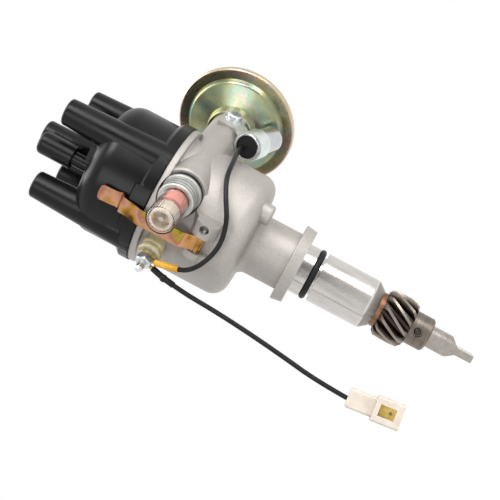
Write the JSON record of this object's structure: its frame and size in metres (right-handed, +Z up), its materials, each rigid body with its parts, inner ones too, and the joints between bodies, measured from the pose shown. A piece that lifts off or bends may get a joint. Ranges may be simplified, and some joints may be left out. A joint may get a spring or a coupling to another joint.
{
  "type": "ignition distributor",
  "caption": "Ignition distributor with a towered black cap, cast bowl, sprung clips, vacuum advance, condenser, drive gear and tanged shaft.",
  "frame": {"origin": "on the shaft's axis, at the flange's seating face", "axes": "+Z up the shaft to the cap; -Y towards the clip and selector side"},
  "size_m": [0.1338, 0.1312, 0.2504],
  "materials": {
    "cast_aluminium": "die-cast, fine matt grain",
    "black_phenolic": "moulded, semi-matt",
    "yellow_zinc": "yellow chromated zinc plate",
    "clear_zinc": "bright zinc plate",
    "steel": "machined and oiled",
    "bronze": "sintered bronze",
    "brass": "stamped brass",
    "tinned_steel": "bright tin plate",
    "black_rubber": "moulded rubber",
    "ivory_nylon": "moulded nylon",
    "clear_plastic": "clear moulded cap",
    "red_plastic": "moulded ring",
    "translucent_nylon": "natural nylon",
    "brown_phenolic": "moulded rotor",
    "carbon": "pressed carbon",
    "spring_steel": "coiled wire"
  },
  "bodies": {
    "housing": {"housing": "cast_aluminium", "o_ring": "black_rubber", "lower_bush": "bronze", "upper_bush": "bronze", "cap": "black_phenolic", "cap_gasket": "black_rubber", "side_electrodes": "brass", "centre_electrode": "brass", "brush_spring": "spring_steel", "clip_pin_front": "clear_zinc", "clip_pin_rear": "clear_zinc", "breaker_base": "steel", "plate_screws": "clear_zinc", "vacuum_front_shell": "yellow_zinc", "vacuum_rear_shell": "yellow_zinc", "vacuum_nozzle": "yellow_zinc", "diaphragm": "black_rubber", "vacuum_spring": "spring_steel", "selector_seal": "black_rubber", "selector_ring": "clear_zinc", "selector_cap": "clear_plastic", "condenser_bracket": "clear_zinc", "condenser_can": "tinned_steel", "condenser_seal": "black_rubber", "condenser_screw": "clear_zinc", "terminal_insulator": "ivory_nylon", "terminal_stud": "clear_zinc", "terminal_nut": "clear_zinc", "terminal_washers": "bronze", "lead_tags": "brass", "condenser_lead": "black_rubber", "primary_lead": "black_rubber", "connector_body": "translucent_nylon", "connector_blade": "brass", "condenser_sleeve": "ivory_nylon", "lead_shrink": "black_rubber"},
    "shaft": {"shaft": "steel", "thrust_washer": "bronze", "drive_gear": "steel", "gear_pin": "steel", "governor_plate": "steel", "weight_pins": "steel", "governor_springs": "spring_steel", "cam_screw": "steel"},
    "cam": {"cam": "steel", "rotor": "brown_phenolic", "rotor_electrode": "brass"},
    "weight_a": {"governor_weight_a": "steel"},
    "weight_b": {"governor_weight_b": "steel"},
    "breaker_plate": {"breaker_plate": "steel", "contact_bracket": "steel"},
    "breaker_arm": {"breaker_arm": "brown_phenolic"},
    "vacuum_rod": {"vacuum_rod": "steel", "diaphragm_plates": "steel"},
    "selector_knob": {"selector_knob": "ivory_nylon"},
    "selector_indicator": {"selector_indicator": "red_plastic"},
    "clip_front": {"clip_front": "yellow_zinc"},
    "clip_rear": {"clip_rear": "yellow_zinc"},
    "centre_brush": {"centre_brush": "carbon"}
  },
  "joints": [
    {"name": "shaft_spin", "type": "hinge", "parent": "housing", "child": "shaft", "pos_m": [0, 0, 0], "axis": [0, 0, 1], "continuous": true},
    {"name": "cam_advance", "type": "hinge", "parent": "shaft", "child": "cam", "pos_m": [0, 0, 0.047], "axis": [0, 0, -1], "range_deg": [0, 10.6], "deforming": ["governor_springs"]},
    {"name": "weight_a_swing", "type": "hinge", "parent": "shaft", "child": "weight_a", "pos_m": [0.019, 0, 0.043], "axis": [0, 0, -1], "range_deg": [0, 12]},
    {"name": "weight_b_swing", "type": "hinge", "parent": "shaft", "child": "weight_b", "pos_m": [-0.019, 0, 0.043], "axis": [0, 0, -1], "range_deg": [0, 12]},
    {"name": "plate_advance", "type": "hinge", "parent": "housing", "child": "breaker_plate", "pos_m": [0, 0, 0.0585], "axis": [0, 0, 1], "range_deg": [0, 10]},
    {"name": "vacuum_rod_slide", "type": "slide", "parent": "housing", "child": "vacuum_rod", "axis": [0.5519, 0.8339, 0], "range_m": [0, 0.0039], "deforming": ["diaphragm", "vacuum_spring"]},
    {"name": "breaker_arm_lift", "type": "hinge", "parent": "breaker_plate", "child": "breaker_arm", "pos_m": [0.00072, 0.02049, 0.0675], "axis": [0, 0, -1], "range_deg": [0, 3.5], "stiffness_Nm_per_rad": 0.5, "springref_deg": -11.46},
    {"name": "selector_turn", "type": "hinge", "parent": "housing", "child": "selector_knob", "pos_m": [-0.00331, -0.04577, 0.068], "axis": [-0.5519, -0.8339, 0], "range_deg": [-270, 270]},
    {"name": "selector_indicator_slide", "type": "slide", "parent": "housing", "child": "selector_indicator", "axis": [-0.5519, -0.8339, 0], "range_m": [-0.0015, 0.0015]},
    {"name": "clip_front_swing", "type": "hinge", "parent": "housing", "child": "clip_front", "pos_m": [-0.01338, -0.0345, 0.049], "axis": [0.887, -0.4617, 0], "range_deg": [0, 85]},
    {"name": "clip_rear_swing", "type": "hinge", "parent": "housing", "child": "clip_rear", "pos_m": [0.01265, 0.03477, 0.049], "axis": [-0.9397, 0.342, 0], "range_deg": [0, 100]},
    {"name": "brush_slide", "type": "slide", "parent": "housing", "child": "centre_brush", "axis": [0, 0, 1], "range_m": [0, 0.0015], "stiffness_N_per_m": 150, "springref_m": -0.004, "deforming": ["brush_spring"]}
  ],
  "couplings": [
    {"joint": "weight_a_swing", "follows": "cam_advance", "ratio": 1.13},
    {"joint": "weight_b_swing", "follows": "cam_advance", "ratio": 1.13},
    {"joint": "plate_advance", "follows": "vacuum_rod_slide", "rad_per_m": 44.4},
    {"joint": "selector_turn", "follows": "selector_indicator_slide", "rad_per_m": 3140}
  ]
}
